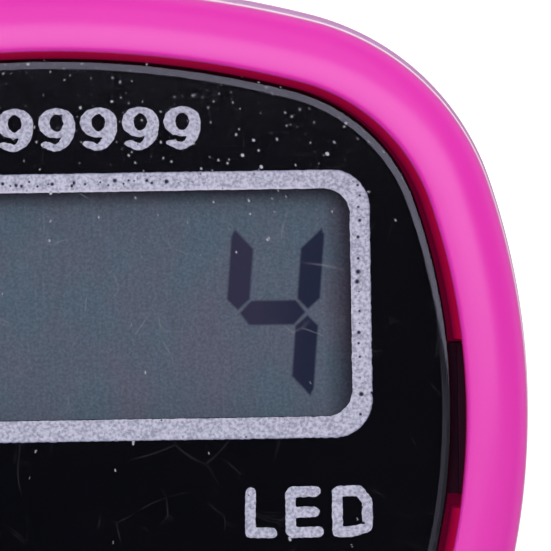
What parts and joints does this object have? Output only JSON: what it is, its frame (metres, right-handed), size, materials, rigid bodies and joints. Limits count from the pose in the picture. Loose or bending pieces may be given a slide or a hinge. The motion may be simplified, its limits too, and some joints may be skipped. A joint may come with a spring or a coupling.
{
  "type": "digital tally counter",
  "caption": "Finger tally counter: egg-shaped pink housing, black face with a display window, a press button to count, two small keys and a silicone finger band.",
  "frame": {"origin": "middle of the housing's length and width, at the underside of the finger band's flat run", "axes": "+Z out of the face, +Y towards the display end, +X to the reader's right"},
  "size_m": [0.0284, 0.0342, 0.0328],
  "materials": {
    "pink_plastic": "glossy moulded, bright pink",
    "black_plastic": "fine matt",
    "clear_lens": "polished acrylic with fine scratches",
    "black_film": "satin print",
    "polariser": "satin sheet",
    "display_glass": "polished",
    "foil": "satin",
    "light_guide": "frosted",
    "zebra_rubber": "matt, striped",
    "green_board": "solder mask",
    "chip_resin": "cured resin",
    "steel": "plated",
    "ceramic": "fired",
    "lamp_body": "clear resin over phosphor",
    "brass_plate": "plated",
    "chrome": "bright plated",
    "dome_rubber": "matt",
    "silicone": "soft matt, pink"
  },
  "bodies": {
    "housing": {"front_bezel": "pink_plastic", "rear_shell": "pink_plastic", "face_lens": "clear_lens", "face_film": "black_film", "chassis": "black_plastic", "lcd_front_polariser": "polariser", "lcd_front_glass": "display_glass", "lcd_rear_glass": "display_glass", "lcd_reflector": "foil", "light_guide": "light_guide", "zebra_strip": "zebra_rubber", "circuit_board": "green_board", "chip_blob": "chip_resin", "crystal_can": "steel", "chip_capacitor": "ceramic", "chip_resistor_1": "ceramic", "chip_resistor_2": "ceramic", "led_lamp": "lamp_body", "contact_positive": "brass_plate", "contact_negative": "brass_plate", "case_screw_1": "steel", "case_screw_2": "steel", "case_screw_3": "steel", "case_screw_4": "steel", "count_dome": "dome_rubber", "reset_dome": "dome_rubber", "led_dome": "dome_rubber", "band_hole_half": "silicone", "band_stud_half": "silicone"},
    "count_key": {"count_button": "chrome"},
    "reset_key": {"reset_button": "chrome"},
    "led_key": {"led_button": "chrome"},
    "battery_cover": {"battery_door": "pink_plastic", "contact_bridge": "brass_plate", "battery_1": "steel", "battery_2": "steel"},
    "cover_screw": {"door_screw": "steel"}
  },
  "joints": [
    {"name": "count_press", "type": "slide", "parent": "housing", "child": "count_key", "axis": [0, 0, -1], "range_m": [0, 0.0008], "stiffness_N_per_m": 1500, "springref_m": -0.0003, "deforming": ["count_dome"]},
    {"name": "reset_press", "type": "slide", "parent": "housing", "child": "reset_key", "axis": [0, 0, -1], "range_m": [0, 0.0004], "stiffness_N_per_m": 1200, "springref_m": -0.0003, "deforming": ["reset_dome"]},
    {"name": "led_press", "type": "slide", "parent": "housing", "child": "led_key", "axis": [0, 0, -1], "range_m": [0, 0.0004], "stiffness_N_per_m": 1200, "springref_m": -0.0003, "deforming": ["led_dome"]},
    {"name": "cover_lift", "type": "slide", "parent": "housing", "child": "battery_cover", "axis": [0, 0, -1], "range_m": [0, 0.009]},
    {"name": "screw_draw", "type": "slide", "parent": "battery_cover", "child": "cover_screw", "axis": [0, 0, -1], "range_m": [0, 0.0045]}
  ]
}
